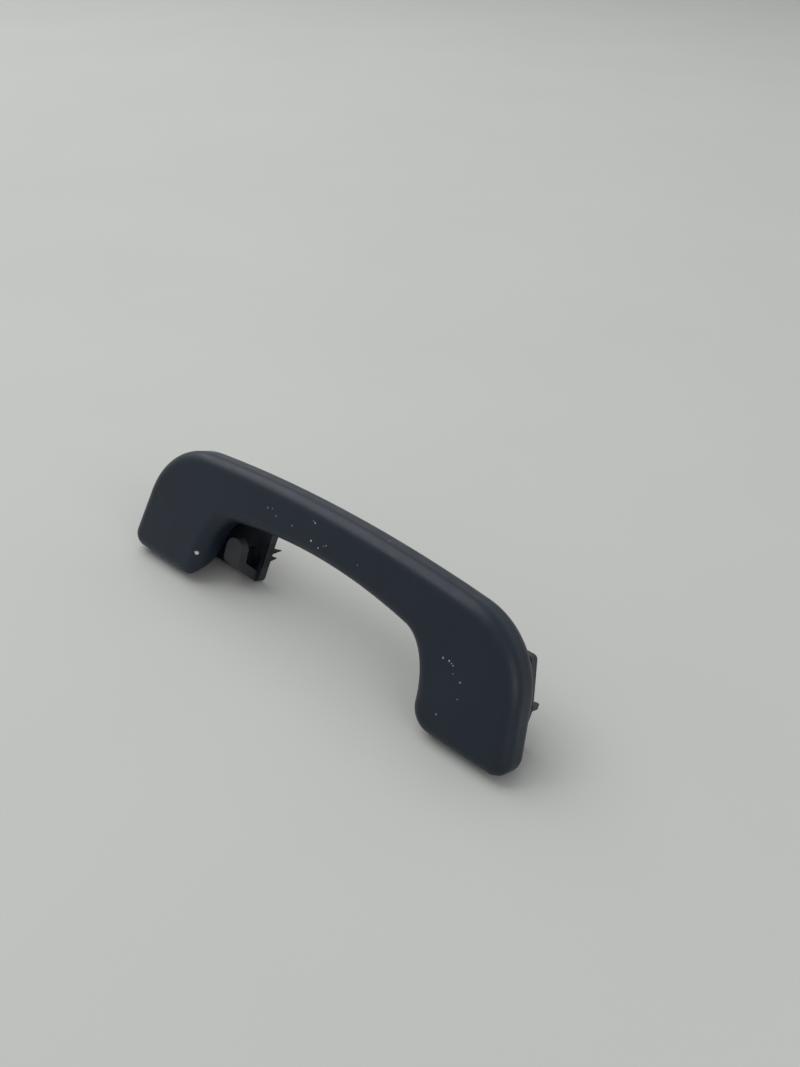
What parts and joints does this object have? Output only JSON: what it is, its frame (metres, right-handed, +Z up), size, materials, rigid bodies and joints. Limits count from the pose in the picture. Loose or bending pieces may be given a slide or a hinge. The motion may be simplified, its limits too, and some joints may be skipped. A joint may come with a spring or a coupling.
{
  "type": "roof grab handle",
  "caption": "Fold-down car roof grab handle: a hollow-footed grip on hinge brackets, sprung shut and damped, with a coat hook on one bracket.",
  "frame": {"origin": "midway between the two mounting screws, on the plane where the bracket plates meet the roof rail", "axes": "+X along the handle towards the plain bracket, +Y back into the roof rail, +Z up towards the grip's crown with the handle closed"},
  "size_m": [0.2114, 0.0302, 0.0585],
  "materials": {
    "handle_plastic": "fine moulded grain",
    "bracket_plastic": "smooth moulded",
    "damper_plastic": "smooth moulded",
    "sleeve_plastic": "natural acetal",
    "steel": "zinc plated",
    "spring_steel": "drawn wire",
    "clip_steel": "black phosphated",
    "rubber": "matt"
  },
  "bodies": {
    "brackets": {"hinge_bracket_left": "bracket_plastic", "hinge_bracket_right": "bracket_plastic", "hinge_pin_left": "steel", "hinge_pin_right": "steel", "mounting_sleeve_left": "steel", "mounting_sleeve_right": "steel", "retaining_clip_left": "clip_steel", "retaining_clip_right": "clip_steel", "stop_buffer_left": "rubber", "stop_buffer_right": "rubber", "return_spring": "spring_steel", "spring_sleeve": "sleeve_plastic", "damper_housing": "damper_plastic", "damper_cap": "damper_plastic", "damper_seal": "rubber"},
    "handle": {"grip": "handle_plastic", "damper_rotor": "sleeve_plastic"}
  },
  "joints": [
    {"name": "grip_swing", "type": "hinge", "parent": "brackets", "child": "handle", "pos_m": [0, -0.014, -0.016], "axis": [1, 0, 0], "range_deg": [0, 75], "stiffness_Nm_per_rad": 0.05, "springref_deg": -34.38, "deforming": ["return_spring"]}
  ]
}
